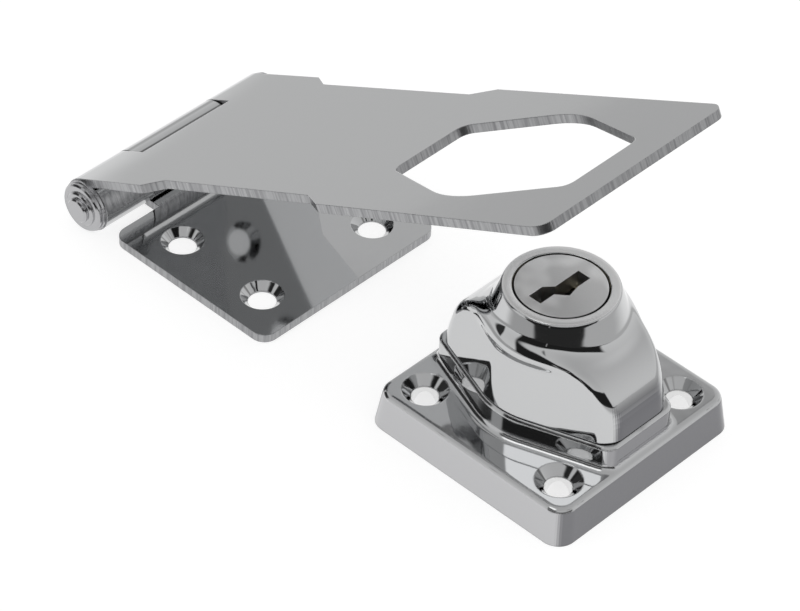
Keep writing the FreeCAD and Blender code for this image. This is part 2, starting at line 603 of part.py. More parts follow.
def make_knob():
    """Die-cast knob: a hexagon under an arched roof, the cone for the lock cylinder and a hollow shank."""
    body = new_body("knob")
    outline = new_sketch(body, "knob_outline", offset=KNOB_FOOT)
    add_hexagon(outline, KNOB_HALF_LENGTH, KNOB_ROUND)
    block = pad(body, outline, "Sizes.roof_top + 1 - " + KNOB_FOOT)
    lean_walls(body, "knob_slope", block, "Sizes.knob_draft")
    half_length = size("step_half_length") - size("knob_inset")
    round_hexagon(body, "knob", half_length, KNOB_ROUND, "Sizes.step_corner")
    cut_roof(body)
    room = new_sketch(body, "knob_room", offset=KNOB_FOOT)
    add_hexagon(room, "(%s - Sizes.knob_wall)" % KNOB_HALF_LENGTH, "(%s - Sizes.knob_wall)" % KNOB_ROUND)
    pocket(body, room, "Sizes.knob_room_top - " + KNOB_FOOT, reverse=True)
    core = new_sketch(body, "knob_core", offset=KNOB_FOOT)
    add_circle(core, KNOB_ROUND + " - Sizes.knob_wall + 0.1")
    pad(body, core, "Sizes.knob_room_top - " + KNOB_FOOT)
    lug = new_sketch(body, "knob_stop_lug", offset=KNOB_FOOT)
    add_circle(lug, "Sizes.stop_lug", "-" + STOP_REST, STOP_REST)
    pad(body, lug, "Sizes.knob_room_top - " + KNOB_FOOT)
    cone = new_sketch(body, "knob_cone", "XZ_Plane")
    add_outline(cone, [
        (None, "Sizes.knob_room_top"), ("Sizes.cone_foot_radius", "Sizes.knob_room_top"),
        ("Sizes.cone_foot_radius", "Sizes.cone_foot"), ("Sizes.cone_top_radius", "Sizes.cone_top"),
        (None, "Sizes.cone_top")])
    turn(body, cone)
    shank = new_sketch(body, "knob_shank", offset="Sizes.shank_end")
    add_circle(shank, "Sizes.shank_radius")
    pad(body, shank, KNOB_FOOT + " - Sizes.shank_end + 1")
    bore = new_sketch(body, "knob_bore_cut")
    add_circle(bore, "Sizes.knob_bore")
    pocket(body, bore, "Sizes.cone_top - Sizes.lip_thick", reverse=True)
    lip = new_sketch(body, "knob_lip_cut")
    add_circle(lip, "Sizes.lip_bore")
    pocket(body, lip, "Sizes.cone_top + 1", reverse=True)
    ring_groove = new_sketch(body, "snap_ring_groove", "XZ_Plane")
    add_rectangle(ring_groove, "Sizes.snap_ring_neck", "Sizes.shank_radius + 1",
                  SNAP_RING_FOOT + " - Sizes.ring_play", SNAP_RING_TOP + " + Sizes.ring_play")
    turn(body, ring_groove, "PartDesign::Groove")
    bolt_way = new_sketch(body, "bolt_way")
    half = "(Sizes.bolt_width / 2 + Sizes.bolt_play)"
    add_rectangle(bolt_way, None, "Sizes.shank_radius + 1", "-" + half, half)
    pocket(body, bolt_way, "Sizes.bolt_foot + Sizes.bolt_thick + Sizes.bolt_play", reverse=True)
    stop_hole = new_sketch(body, "stop_hole", offset=KNOB_FOOT)
    add_circle(stop_hole, "Sizes.stop_radius", "-" + STOP_REST, STOP_REST)
    pocket(body, stop_hole, "Sizes.stop_top - " + KNOB_FOOT, reverse=True)
    pin_hole = new_sketch(body, "body_pin_hole", "YZ_Plane")
    add_circle(pin_hole, "Sizes.body_pin_radius", None, "Sizes.body_pin_height")
    pocket(body, pin_hole, "Sizes.body_pin_outer + 1")
    rim = size("cone_top")
    round_edges(body, "cone_edges", "Sizes.cone_edge",
                lambda edge: abs(middle(edge).z - rim) < 0.01, "PartDesign::Chamfer")


def cut_roof(body):
    """Trims the hexagon to an arched roof, the same all along Y, and rounds its edge."""
    roof = new_sketch(body, "knob_roof", "XZ_Plane")
    roof_radius = size("roof_radius")
    roof_middle = size("roof_top") - roof_radius
    clear = size("step_half_length") + size("roof_clearance")
    over = size("roof_top") + size("roof_clearance")
    side = roof_middle + math.sqrt(roof_radius ** 2 - clear ** 2)
    lean = math.asin(clear / roof_radius)
    circle = Part.Circle(FreeCAD.Vector(0, roof_middle, 0), TOP, roof_radius)
    arch = roof.addGeometry(Part.ArcOfCircle(circle, math.pi / 2 - lean, math.pi / 2 + lean))
    places = ((clear, side), (clear, over), (-clear, over), (-clear, side))
    corners = [FreeCAD.Vector(x, z, 0) for x, z in places]
    right, top, left = [roof.addGeometry(Part.LineSegment(start, end))
                        for start, end in zip(corners, corners[1:])]
    roof.addConstraint(Sketcher.Constraint("Coincident", arch, 1, right, 1))
    roof.addConstraint(Sketcher.Constraint("Coincident", right, 2, top, 1))
    roof.addConstraint(Sketcher.Constraint("Coincident", top, 2, left, 1))
    roof.addConstraint(Sketcher.Constraint("Coincident", left, 2, arch, 2))
    roof.addConstraint(Sketcher.Constraint("Vertical", right))
    roof.addConstraint(Sketcher.Constraint("Horizontal", top))
    roof.addConstraint(Sketcher.Constraint("Vertical", left))
    reach = "(Sizes.step_half_length + Sizes.roof_clearance)"
    bind(roof, Sketcher.Constraint("Radius", arch, roof_radius), "Sizes.roof_radius")
    bind(roof, Sketcher.Constraint("DistanceX", arch, 3, 0.0), "0")
    bind(roof, Sketcher.Constraint("DistanceY", arch, 3, roof_middle), "Sizes.roof_top - Sizes.roof_radius")
    bind(roof, Sketcher.Constraint("DistanceX", right, 1, clear), reach)
    bind(roof, Sketcher.Constraint("DistanceX", left, 1, -clear), "-" + reach)
    bind(roof, Sketcher.Constraint("DistanceY", top, 1, over), "Sizes.roof_top + Sizes.roof_clearance")
    pocket(body, roof, symmetric=True)

    def on_roof(edge):
        points = [edge.valueAt(edge.FirstParameter), middle(edge), edge.valueAt(edge.LastParameter)]
        return all(abs(math.hypot(point.x, point.z - roof_middle) - roof_radius) < 0.01 for point in points)

    round_edges(body, "roof_edges", "Sizes.roof_edge", on_roof)


def make_cylinder_body():
    """Sleeve round the plug, with crossed channels that the wafers lock into."""
    body = new_body("cylinder_body")
    sleeve = new_sketch(body, "sleeve", offset="Sizes.body_foot")
    add_circle(sleeve, BODY_RADIUS)
    add_circle(sleeve, "Sizes.plug_radius + Sizes.plug_fit")
    pad(body, sleeve, BODY_TOP + " - Sizes.body_foot")
    for name, across, up in (("channel_in_line", "Sizes.channel_width / 2", "Sizes.channel_reach"),
                             ("channel_across", "Sizes.channel_reach", "Sizes.channel_width / 2")):
        channel = new_sketch(body, name, offset="Sizes.body_foot")
        add_rectangle(channel, "-" + across, across, "-" + up, up)
        pocket(body, channel, "Sizes.channel_top - Sizes.body_foot", reverse=True)
    pin_hole = new_sketch(body, "sleeve_pin_hole", "YZ_Plane")
    add_circle(pin_hole, "Sizes.body_pin_radius", None, "Sizes.body_pin_height")
    pocket(body, pin_hole, BODY_RADIUS + " + 1")


def make_body_pin():
    """Cross pin that holds the cylinder body in the knob."""
    body = new_body("body_pin")
    end = new_sketch(body, "body_pin_end", "YZ_Plane", "-Sizes.body_pin_outer")
    add_circle(end, "Sizes.body_pin_radius", None, "Sizes.body_pin_height")
    pad(body, end, "Sizes.body_pin_outer - Sizes.body_pin_inner")


def make_stop_pin():
    """Pressed into the knob; its foot runs in the step's groove and stops the knob after a quarter turn."""
    body = new_body("stop_pin")
    foot = "(Sizes.step_top - Sizes.stop_depth + Sizes.stop_play)"
    end = new_sketch(body, "stop_pin_end", offset=foot)
    add_circle(end, "Sizes.stop_radius", "-" + STOP_REST, STOP_REST)
    pad(body, end, "Sizes.stop_top - " + foot)


def make_shank_cap():
    """Pressed into the shank's end, under the bolt."""
    body = new_body("shank_cap")
    disc = new_sketch(body, "cap_disc", offset="Sizes.shank_end")
    add_circle(disc, "Sizes.knob_bore")
    pad(body, disc, "Sizes.cap_thick")


def make_shank_rings():
    """Disc spring, flat washer and snap ring that draw the knob down onto the step."""
    spring = new_body("disc_spring")
    section = new_sketch(spring, "disc_spring_section", "XZ_Plane")
    crown = "Sizes.disc_spring_top"
    rim = "(Sizes.disc_spring_top - Sizes.disc_spring_rise)"
    add_outline(section, [
        (RING_BORE, crown), (RING_BORE, crown + " - Sizes.disc_spring_thick"),
        ("Sizes.ring_radius", rim + " - Sizes.disc_spring_thick"), ("Sizes.ring_radius", rim)])
    turn(spring, section)
    washer = new_body("flat_washer")
    flat = new_sketch(washer, "flat_washer_ring", offset=FLAT_WASHER_FOOT)
    add_circle(flat, "Sizes.ring_radius")
    add_circle(flat, RING_BORE)
    pad(washer, flat, "Sizes.flat_washer_thick")
    snap = new_body("snap_ring")
    ring = new_sketch(snap, "snap_ring_outline", offset=SNAP_RING_FOOT)
    add_circle(ring, "Sizes.ring_radius")
    add_circle(ring, "Sizes.snap_ring_neck + Sizes.ring_play")
    pad(snap, ring, "Sizes.snap_ring_thick")
    mouth = new_sketch(snap, "snap_ring_mouth_cut", offset=SNAP_RING_FOOT)
    half_mouth = "Sizes.snap_ring_mouth / 2"
    add_rectangle(mouth, "-Sizes.ring_radius - 1", None, "-" + half_mouth, half_mouth)
    pocket(snap, mouth, reverse=True)


# Plug and what turns with it

def make_plug():
    """Key plug with its face, keyway, wafer slots, spring rooms and square tail."""
    body = new_body("key_plug")
    stem = new_sketch(body, "plug_stem", offset="Sizes.plug_foot")
    add_circle(stem, "Sizes.plug_radius")
    pad(body, stem, PLUG_FACE_FOOT + " - Sizes.plug_foot")
    face = new_sketch(body, "plug_face", offset=PLUG_FACE_FOOT)
    add_circle(face, "Sizes.plug_face_radius")
    pad(body, face, PLUG_FACE_TOP + " - " + PLUG_FACE_FOOT)
    face_top = size("cone_top") - size("plug_face_drop")
    round_edges(body, "plug_face_edge", "Sizes.plug_edge",
                lambda edge: abs(middle(edge).z - face_top) < 0.01, "PartDesign::Chamfer")
    tail = new_sketch(body, "plug_tail", offset="Sizes.cam_foot")
    half_tail = "Sizes.tail_width / 2"
    add_rectangle(tail, "-" + half_tail, half_tail, "-" + half_tail, half_tail)
    pad(body, tail, "Sizes.plug_foot - Sizes.cam_foot")
    neck = new_sketch(body, "plug_neck", "XZ_Plane")
    add_rectangle(neck, "Sizes.clip_neck", "Sizes.plug_radius + 1",
                  CLIP_FOOT + " - Sizes.clip_play", "Sizes.body_foot")
    turn(body, neck, "PartDesign::Groove")
    keyway = new_sketch(body, "keyway", offset="Sizes.keyway_foot")
    near_left = "-Sizes.keyway_shift - Sizes.keyway_width / 2"
    near_right = "-Sizes.keyway_shift + Sizes.keyway_width / 2"
    far_left = "Sizes.keyway_shift - Sizes.keyway_width / 2"
    far_right = "Sizes.keyway_shift + Sizes.keyway_width / 2"
    low = "Sizes.keyway_step_low"
    high = "Sizes.keyway_step_high"
    add_outline(keyway, [
        (near_left, "-Sizes.keyway_near"), (near_right, "-Sizes.keyway_near"), (near_right, low),
        (far_right + " + Sizes.keyway_bulge", high), (far_right, "Sizes.keyway_bulge_end"),
        (far_right, "Sizes.keyway_far"), (far_left, "Sizes.keyway_far"), (far_left, high),
        (near_left, low)])
    pocket(body, keyway, reverse=True)
    for number in range(int(size("wafer_count"))):
        level = wafer_level(number)
        slot = new_sketch(body, "wafer_slot_%d" % (number + 1), offset=level)
        half = "(Sizes.wafer_width / 2 + Sizes.wafer_play)"
        add_rectangle(slot, "-" + half, half, "-Sizes.plug_radius - 1", "Sizes.plug_radius + 1")
        pocket(body, slot, "Sizes.wafer_thick + 2 * Sizes.wafer_play", symmetric=True)
        room = new_sketch(body, "spring_room_%d" % (number + 1), offset=level)
        add_rectangle(room, None, "Sizes.ear_reach + Sizes.wafer_play",
                      "-Sizes.spring_length - Sizes.spring_ease",
                      "Sizes.ear_length + Sizes.wafer_travel + Sizes.wafer_play")
        room_height = "2 * (Sizes.spring_radius + Sizes.spring_wire + Sizes.wafer_play)"
        pocket(body, room, room_height, symmetric=True)


def wafer_level(number):
    return "(Sizes.wafer_top - %d * Sizes.wafer_spacing)" % number


def make_wafer(number):
    """A stamped plate whose round ends lie level with the plug, with a window for the key and an ear."""
    name = "wafer_%d" % (number + 1)
    level = wafer_level(number) + " - Sizes.wafer_thick / 2"
    disc = doc.addObject("Part::Cylinder", name + "_disc")
    disc.setExpression("Radius", "Sizes.plug_radius - Sizes.wafer_play")
    disc.setExpression("Height", "Sizes.wafer_thick")
    disc.setExpression("Placement.Base.z", level)
    strip = add_block(name + "_strip", "Sizes.wafer_width", "2 * Sizes.plug_radius",
                      "-Sizes.wafer_width / 2", "-Sizes.plug_radius", level)
    plate = doc.addObject("Part::Common", name + "_plate")
    plate.Base = disc
    plate.Tool = strip
    ear = add_block(name + "_ear", "Sizes.ear_reach - Sizes.wafer_width / 2 + 0.5", "Sizes.ear_length",
                    "Sizes.wafer_width / 2 - 0.5", "0", level)
    joined = doc.addObject("Part::Fuse", name + "_joined")
    joined.Base = plate
    joined.Tool = ear
    window = add_block(name + "_window", "Sizes.wafer_window_width", "Sizes.wafer_window_length",
                       "-Sizes.wafer_window_width / 2", "-Sizes.wafer_window_length / 2", level)
    wafer = doc.addObject("Part::Cut", name)
    wafer.Base = joined
    wafer.Tool = window
    wafer.Label = name
    pieces.append(wafer)


def add_block(name, length, width, left, near, foot):
    block = doc.addObject("Part::Box", name)
    block.setExpression("Length", length)
    block.setExpression("Width", width)
    block.setExpression("Height", "Sizes.wafer_thick")
    block.setExpression("Placement.Base.x", left)
    block.setExpression("Placement.Base.y", near)
    block.setExpression("Placement.Base.z", foot)
    return block


def make_wafer_spring(number):
    """A small coil spring along Y that pushes the wafer's ear."""
    name = "wafer_spring_%d" % (number + 1)
    helix = doc.addObject("Part::Helix", name + "_path")
    helix.setExpression("Radius", "Sizes.spring_radius")
    helix.setExpression("Height", "Sizes.spring_length - 2 * Sizes.spring_wire")
    helix.setExpression("Pitch", "(Sizes.spring_length - 2 * Sizes.spring_wire) / Sizes.spring_turns")
    wire = doc.addObject("Part::RegularPolygon", name + "_wire")
    wire.Polygon = 4
    wire.setExpression("Circumradius", "Sizes.spring_wire")
    quarter_turn = FreeCAD.Rotation(FreeCAD.Vector(1, 0, 0), 90)
    wire.Placement = FreeCAD.Placement(FreeCAD.Vector(0, 0, 0), quarter_turn)
    wire.setExpression("Placement.Base.x", "Sizes.spring_radius")
    spring = doc.addObject("Part::Sweep", name)
    spring.Sections = [wire]
    spring.Spine = (helix, ["Edge1"])
    spring.Solid = True
    spring.Frenet = True
    spring.Label = name
    spring.Placement = FreeCAD.Placement(FreeCAD.Vector(0, 0, 0), quarter_turn)
    spring.setExpression("Placement.Base.x", "Sizes.spring_place")
    spring.setExpression("Placement.Base.y", "-Sizes.spring_wire - Sizes.spring_ease")
    spring.setExpression("Placement.Base.z", wafer_level(number))
    pieces.append(spring)


def make_plug_clip():
    """Open clip in the plug's groove, under the cylinder body."""
    body = new_body("plug_clip")
    ring = new_sketch(body, "clip_ring", offset=CLIP_FOOT)
    add_circle(ring, "Sizes.clip_radius")
    add_circle(ring, "Sizes.clip_neck + Sizes.clip_play")
    pad(body, ring, "Sizes.clip_thick")
    mouth = new_sketch(body, "clip_mouth_cut", offset=CLIP_FOOT)
    add_rectangle(mouth, "-Sizes.clip_mouth / 2", "Sizes.clip_mouth / 2", None, "Sizes.clip_radius + 1")
    pocket(body, mouth, reverse=True)


def make_cam():
    """Disc on the plug's square tail, with the crank pin that moves the bolt."""
    body = new_body("drive_cam")
    disc = new_sketch(body, "cam_disc", offset="Sizes.cam_foot")
    add_circle(disc, "Sizes.cam_radius")
    half = "Sizes.tail_width / 2"
    add_rectangle(disc, "-" + half, half, "-" + half, half)
    pad(body, disc, "Sizes.cam_thick")
    crank = new_sketch(body, "cam_crank", offset="Sizes.cam_foot")
    add_circle(crank, "Sizes.crank_radius", "-" + CRANK_REST, "-" + CRANK_REST)
    pad(body, crank, "Sizes.cam_foot - Sizes.bolt_foot - Sizes.bolt_play", reverse=True)


def make_bolt():
    """Locking bolt; its cross slot takes the crank pin."""
    body = new_body("locking_bolt")
    bar = new_sketch(body, "bolt_bar", offset="Sizes.bolt_foot")
    half_head = "Sizes.bolt_head_width / 2"
    half_tip = "Sizes.bolt_width / 2"
    side = [
        ("Sizes.bolt_tip", half_tip), ("Sizes.bolt_head", half_tip), ("Sizes.bolt_head", half_head),
        ("-Sizes.bolt_tail", half_head)]
    other_side = [(across, "-" + up) for across, up in reversed(side)]
    add_outline(bar, side + other_side)
    pad(body, bar, "Sizes.bolt_thick")
    slot = new_sketch(body, "crank_slot", offset="Sizes.bolt_foot")
    half_slot = "(Sizes.crank_radius + Sizes.crank_play)"
    add_rectangle(slot, "-%s - %s" % (CRANK_REST, half_slot), "-%s + %s" % (CRANK_REST, half_slot),
                  "-Sizes.crank_throw - %s" % half_slot, "-%s + %s" % (CRANK_REST, half_slot))
    pocket(body, slot, reverse=True)


make_leaf()
make_strap()
make_pin()
make_pin_washer("pin_washer_near", -1)
make_pin_washer("pin_washer_far", 1)
make_base()
make_knob()
make_cylinder_body()
make_body_pin()
make_stop_pin()
make_shank_cap()
make_shank_rings()
make_plug()
for place in range(int(size("wafer_count"))):
    make_wafer(place)
    make_wafer_spring(place)
make_plug_clip()
make_cam()
make_bolt()
doc.recompute()

for item in doc.Objects:
    if "Invalid" in item.State or "Error" in item.State:
        raise RuntimeError("%s did not compute: %s" % (item.Name, item.State))
for piece in pieces:
    if piece.Shape.isNull() or not piece.Shape.isValid() or not piece.Shape.Solids:
        raise RuntimeError("%s has no valid solid" % piece.Label)

os.makedirs("parts", exist_ok=True)
for piece in pieces:
    piece.Shape.exportStep("parts/%s.step" % piece.Label)
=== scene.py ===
import math

import bmesh
import bpy
import numpy as np
from mathutils import Matrix, Vector


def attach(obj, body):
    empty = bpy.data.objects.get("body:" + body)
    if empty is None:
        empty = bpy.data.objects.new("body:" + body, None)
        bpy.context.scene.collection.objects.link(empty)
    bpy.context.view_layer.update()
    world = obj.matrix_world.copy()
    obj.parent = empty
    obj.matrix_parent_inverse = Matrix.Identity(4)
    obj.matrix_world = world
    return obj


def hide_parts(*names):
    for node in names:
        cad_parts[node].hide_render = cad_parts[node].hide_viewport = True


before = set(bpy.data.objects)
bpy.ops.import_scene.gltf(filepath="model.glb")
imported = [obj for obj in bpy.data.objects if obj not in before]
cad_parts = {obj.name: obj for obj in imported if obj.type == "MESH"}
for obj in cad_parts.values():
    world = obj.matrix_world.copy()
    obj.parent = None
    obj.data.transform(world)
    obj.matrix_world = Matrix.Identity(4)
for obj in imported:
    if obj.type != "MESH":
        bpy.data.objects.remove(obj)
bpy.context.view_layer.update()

# Camera, fitted to the straight edges and screw holes of the photograph (800 by 611)
CAMERA_PLACE = (0.26314, -0.32620, 0.39420)
CAMERA_AZIMUTH = 42.19
CAMERA_ELEVATION = 41.604
CAMERA_ROLL = 2.705
CAMERA_LENS = 166.5
CAMERA_NEAR = 0.01
CAMERA_FAR = 20.0
SENSOR_WIDTH = 36.0

# Places on the object that the materials follow, in metres. Four holes are given by the x of the middle
# between them, and how far they lie from it along and across
HINGE_X = -0.08385
STRAP_ANGLE = 27.0
LEAF_HOLES = (HINGE_X + 0.02365, 0.00925, 0.0126)
BASE_HOLES = (0.0, 0.013875, 0.013875)
BASE_SIDE = (0.0179, 0.0183)
BASE_BORES = (0.0066, 0.0064)
STEP_WALL = (0.0079, 0.0106)
STEP_LEAN = 0.105
KNOB_RING = (0.0273, 0.0278)
KNOB_LOWER_ENDS = (0.0195, 0.0165)
PLUG_GROOVE = (0.0071, 0.00722)
PLUG_FACE = (0.026, 0.0265)

# Colours. Chrome reflects a little over half of the light, the same in all colours
CHROME = (0.55, 0.555, 0.56)
TOOL_MARK = (0.25, 0.25, 0.25)
PUNCHED_EDGE = (0.2, 0.2, 0.21)
LONG_SIDE = (0.52, 0.52, 0.53)
# The base's short outer sides and the end walls of its step: painted shade, darker by the way that they
# face
SHADED_SHORT_SIDE = (0.2, 0.2, 0.21)
STEP_END_SHADE = (0.32, 0.32, 0.33)
# Bores: bare cut metal, painted brighter as a highlight
CUT_BORE_HIGHLIGHT = (0.9, 0.9, 0.9)
# The knob's ends low down: painted shade, darker by the way that they face
KNOB_END_SHADE = (0.15, 0.15, 0.16)
CUT_RING = (0.8, 0.8, 0.8)
PLUG_METAL = (0.6, 0.6, 0.6)
PLUG_DARK = (0.62, 0.62, 0.62)
# The lighter patches on the plug face are a painted sheen, placed at random
PLUG_PAINTED_SHEEN = (0.8, 0.8, 0.8)
# The outer rim of the plug's face: painted near black as shade in the gap to the knob
GROOVE_SHADE = (0.01, 0.01, 0.01)
PIN_METAL = (0.45, 0.45, 0.46)
INNER_BRASS = (0.62, 0.56, 0.42)
INNER_STEEL = (0.45, 0.45, 0.46)

# Roughness, from the smoothest to the roughest place
SHEET_ROUGHNESS = (0.04, 0.07)
EDGE_ROUGHNESS = (0.2, 0.42)
CAST_ROUGHNESS = 0.05
SIDE_ROUGHNESS = (0.12, 0.26)
KNOB_ROUGHNESS = 0.04
RING_ROUGHNESS = (0.3, 0.42)
PLUG_ROUGHNESS = (0.26, 0.4)
PIN_ROUGHNESS = 0.16
BRASS_ROUGHNESS = 0.3
STEEL_ROUGHNESS = 0.35
INNER_SPREAD = (0.8, 1.3)

# Noise in the finish: its scale per metre, or per radian for the tool marks, and its depth in metres
STREAKS = 2600.0
STREAK_STRETCH = -0.96
STREAK_DEPTH = 0.00004
SHEET_GRAIN = 900.0
SHEET_WAVES = 60.0
SHEET_WAVE_DEPTH = 0.00002
SIDE_GRAIN = 1800.0
SIDE_DEPTH = 0.00002
BASE_WAVES = 110.0
BASE_WAVE_DEPTH = 0.00003
RING_GRAIN = 2600.0
RING_TURNING = 9000.0
RING_DEPTH = 0.00001
KNOB_WAVES = 120.0
KNOB_WAVE_DEPTH = 0.00004
PLUG_GRAIN = 2400.0
PLUG_TURNING = 7000.0
PLUG_PATCHES = 160.0
PLUG_DEPTH = 0.000012
INNER_GRAIN = 1500.0
INNER_DEPTH = 0.00001
MARKS = 2.6

# Levels of that noise between which a mark, streak or patch comes up
MARK_LEVELS = (0.55, 0.75)
STREAK_LEVELS = (0.35, 0.7)
STREAK_STRENGTH = (0.42, 0.8)
PATCH_LEVELS = (0.45, 0.6)

# How squarely a face looks along an axis, from 0 to 1: where a finish starts, and where it is full
EDGE_FACING = (0.6, 0.3)
SIDE_FACING = (0.5, 0.3)
SHORT_SIDE_FACING = (0.5, 0.8)
RING_FACING = (0.9, 0.95)
KNOB_END_FACING = (0.86, 0.97)
SHEET_COUNTERSINK = ((0.6, 0.65), (0.8, 0.75))
BASE_COUNTERSINK = ((0.66, 0.69), (0.76, 0.73))

# Roundings of the edges in the shading, in metres
FINE_EDGE = 0.0002
CAST_EDGE = 0.0004
INNER_EDGE = 0.00015

# Knob, in millimetres and degrees, cast in one with soft edges
KNOB_FOOT = 11.2
KNOB_END = 17.65
KNOB_APEX = 12.5
KNOB_DRAFT = 7.0
HEXAGON = 20.0
ROOF_TOP = 23.8
ROOF_RADIUS = 44.0
SHOULDER = 6.5
CREASE = 1.3
CREASE_FROM = 20.0
CORNER = 2.6
CORNER_UP_TO = 15.0
CONE_TOP = 28.3
CONE_RADIUS = 9.1
CONE_SLOPE = 0.36
CONE_FOOT = 1.8
CONE_BASE = 22.2
CONE_BEVEL = 0.5
RIM = 0.3
LIP_BORE = 7.5
LIP_THICK = 1.0
KNOB_BORE = 8.1
CORE_RADIUS = 10.6
SHANK_CUT = 11.25
KNOB_HEART = 16.0
KNOB_SEARCH = 40.0
HALVINGS = 40
SHARP_ANGLE = 40
COLUMNS = 288
LOW_ROWS = 6
ROWS = 72

# Floor: white paper with a painted pool of light, brightest round the object and painted darker away from
# it.
# Each way that it fades has a direction, where the fade starts and ends, and the brightness that is left
FLOOR_REACH = 1.2
FLOOR_FADES = [
    ((0.773, 0.634, 0.0), 0.045, 0.11, 0.6),
    ((-0.661, -0.75, 0.0), 0.105, 0.16, 0.5),
    ((-0.7186, 0.6956, 0.0), 0.125, 0.2, 0.65),
    ((0.7186, -0.6956, 0.0), 0.23, 0.29, 0.03),
]
FLOOR_PAPER = 0.4
FLOOR_GLOW = 0.8

# Studio: light walls, with darker openings and two soft lights. Each has the azimuth and elevation of its
# middle, its half width and half height, all in degrees, and its brightness
ROOM = [
    (-45.0, 0.0, 64.0, 22.0, 0.02),
    (-155.0, 20.0, 20.0, 18.0, 0.04),
    (-90.0, 36.0, 22.0, 10.0, 0.03),
    (126.0, 53.0, 8.0, 12.0, 0.34),
    (139.0, 53.0, 8.0, 12.0, 0.2),
    (146.0, 0.0, 30.0, 16.0, 0.6),
    (-97.0, 57.0, 16.0, 8.0, 2.0),
    (-65.0, 2.0, 1.5, 12.0, 1.0),
]
WALL = 0.85
CEILING = 0.6
SOFT_EDGE = 0.05


def make_camera():
    """Looks along the photograph's azimuth and elevation, and leans by the photograph's roll."""
    data = bpy.data.cameras.new("camera")
    data.lens = CAMERA_LENS
    data.sensor_width = SENSOR_WIDTH
    data.clip_start = CAMERA_NEAR
    data.clip_end = CAMERA_FAR
    camera = bpy.data.objects.new("camera", data)
    azimuth = math.radians(CAMERA_AZIMUTH)
    elevation = math.radians(CAMERA_ELEVATION)
    back = Vector((math.sin(azimuth) * math.cos(elevation), -math.cos(azimuth) * math.cos(elevation),
                   math.sin(elevation)))
    roll = Matrix.Rotation(math.radians(CAMERA_ROLL), 4, "Z").to_quaternion()
    camera.rotation_mode = "QUATERNION"
    camera.rotation_quaternion = back.to_track_quat("Z", "Y") @ roll
    camera.location = CAMERA_PLACE
    bpy.context.collection.objects.link(camera)
    bpy.context.scene.camera = camera


# Node helpers

class Tree:
    """Short calls for the nodes of one material or world."""

    def __init__(self, owner):
        owner.use_nodes = True
        self.nodes = owner.node_tree.nodes
        self.links = owner.node_tree.links

    def add(self, kind, **settings):
        node = self.nodes.new(kind)
        for name, value in settings.items():
            setattr(node, name, value)
        return node

    def feed(self, socket, value):
        """Links a socket's value, or sets a plain one."""
        if isinstance(value, bpy.types.NodeSocket):
            self.links.new(value, socket)
        else:
            socket.default_value = value

    def math(self, operation, *values):
        node = self.add("ShaderNodeMath", operation=operation)
        for socket, value in zip(node.inputs, values):
            self.feed(socket, value)
        return node.outputs["Value"]

    def vector(self, operation, *values, output="Vector"):
        node = self.add("ShaderNodeVectorMath", operation=operation)
        for socket, value in zip(node.inputs, values):
            self.feed(socket, value)
        return node.outputs[output]

    def dot(self, vector, direction):
        return self.vector("DOT_PRODUCT", vector, tuple(direction), output="Value")

    def scale(self, vector, factor):
        node = self.add("ShaderNodeVectorMath", operation="SCALE")
        self.feed(node.inputs["Vector"], vector)
        self.feed(node.inputs["Scale"], factor)
        return node.outputs["Vector"]

    def split(self, vector):
        node = self.add("ShaderNodeSeparateXYZ")
        self.feed(node.inputs["Vector"], vector)
        return node.outputs["X"], node.outputs["Y"], node.outputs["Z"]

    def join(self, x, y, z):
        node = self.add("ShaderNodeCombineXYZ")
        for socket, value in zip(node.inputs, (x, y, z)):
            self.feed(socket, value)
        return node.outputs["Vector"]

    def grey(self, value):
        return self.join(value, value, value)

    def ramp(self, value, start, end, low=0.0, high=1.0):
        """Smooth step from low to high as the value goes from start to end."""
        node = self.add("ShaderNodeMapRange", interpolation_type="SMOOTHSTEP")
        for name, number in (("Value", value), ("From Min", start), ("From Max", end),
                             ("To Min", low), ("To Max", high)):
            self.feed(node.inputs[name], number)
        return node.outputs["Result"]

    def both(self, first, second):
        return self.math("MULTIPLY", first, second)

    def size(self, value):
        return self.math("ABSOLUTE", value)

    def mix(self, factor, first, second):
        """Mixes two numbers."""
        node = self.add("ShaderNodeMix", data_type="FLOAT")
        self.feed(node.inputs[0], factor)
        self.feed(node.inputs[2], first)
        self.feed(node.inputs[3], second)
        return node.outputs[0]

    def shade(self, factor, first, second):
        """Mixes two colours."""
        node = self.add("ShaderNodeMix", data_type="RGBA")
        self.feed(node.inputs[0], factor)
        for socket, value in ((node.inputs[6], first), (node.inputs[7], second)):
            if isinstance(value, bpy.types.NodeSocket):
                self.links.new(value, socket)
            else:
                socket.default_value = (*value, 1.0)
        return node.outputs[2]

    def noise(self, place, scale, detail=2.0, dimensions="3D"):
        """Noise with a number of grains per metre, or per unit of the one number that it follows."""
        node = self.add("ShaderNodeTexNoise", noise_dimensions=dimensions)
        self.feed(node.inputs["W" if dimensions == "1D" else "Vector"], place)
        node.inputs["Scale"].default_value = scale
        node.inputs["Detail"].default_value = detail
        return node.outputs["Fac"]

    def bump(self, height, depth, normal=None):
        """Raises the surface by up to the depth, in metres."""
        node = self.add("ShaderNodeBump")
        node.inputs["Distance"].default_value = depth
        self.feed(node.inputs["Height"], height)
        if normal:
            self.links.new(normal, node.inputs["Normal"])
        return node.outputs["Normal"]

    def soft_edge(self, radius):
        """Rounds the edges in the shading, by a radius in metres."""
        node = self.add("ShaderNodeBevel", samples=6)
        node.inputs["Radius"].default_value = radius
        return node.outputs["Normal"]


# Materials

def new_metal(name, colour, roughness):
    """Plain metal, with the place in the object and the facing that its finish follows."""
    material = bpy.data.materials.new(name)
    tree = Tree(material)
    shader = tree.nodes["Principled BSDF"]
    shader.inputs["Metallic"].default_value = 1.0
    shader.inputs["Base Color"].default_value = (*colour, 1.0)
    shader.inputs["Roughness"].default_value = roughness
    place = tree.add("ShaderNodeTexCoord").outputs["Object"]
    facing = tree.add("ShaderNodeNewGeometry").outputs["True Normal"]
    return material, tree, shader, place, facing


